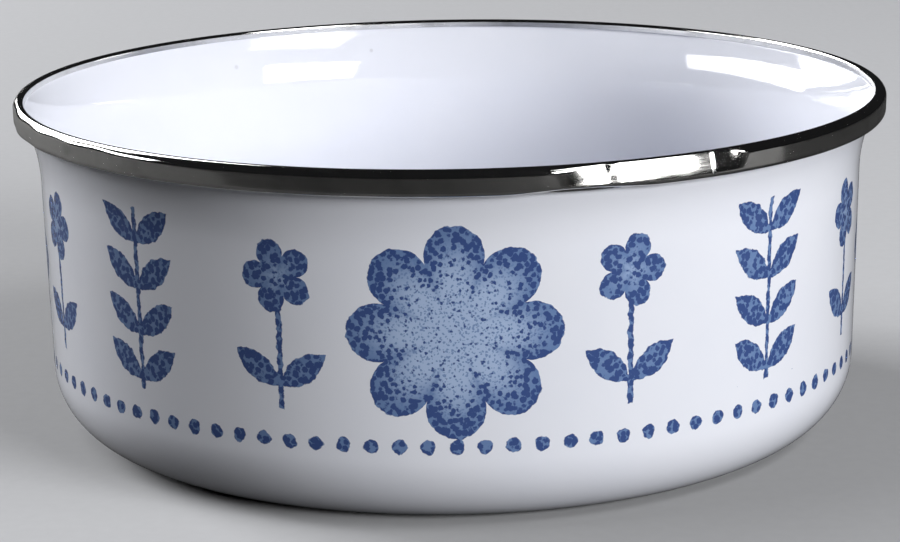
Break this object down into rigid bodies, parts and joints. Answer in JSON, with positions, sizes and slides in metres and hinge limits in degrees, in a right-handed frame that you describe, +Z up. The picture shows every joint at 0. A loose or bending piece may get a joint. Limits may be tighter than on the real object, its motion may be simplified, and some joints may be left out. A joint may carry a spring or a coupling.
{
  "type": "enamelled steel bowl",
  "caption": "Round straight-sided bowl of pressed steel with white vitreous enamel inside and out and a crimped stainless rim band, for mixing and serving food.",
  "frame": {"origin": "middle of the base, on the surface that the bowl stands on", "axes": "+Z up along the bowl's axis, -Y towards the front, where the rim band's seam lies 32 degrees round towards +X"},
  "size_m": [0.24, 0.24, 0.0935],
  "materials": {
    "sheet_steel": "cold-rolled sheet steel under the enamel, bare only at its cut edge",
    "inside_white_enamel": "glossy white vitreous enamel, slightly bluish, with a few fine specks",
    "outside_printed_enamel": "glossy white vitreous enamel with a stippled blue decoration fired into it",
    "polished_stainless": "polished stainless steel strip with fine scratches and small dents from use"
  },
  "bodies": {
    "root": {"steel_body": "sheet_steel", "inside_enamel": "inside_white_enamel", "outside_enamel": "outside_printed_enamel", "rim_band": "polished_stainless"}
  },
  "joints": []
}
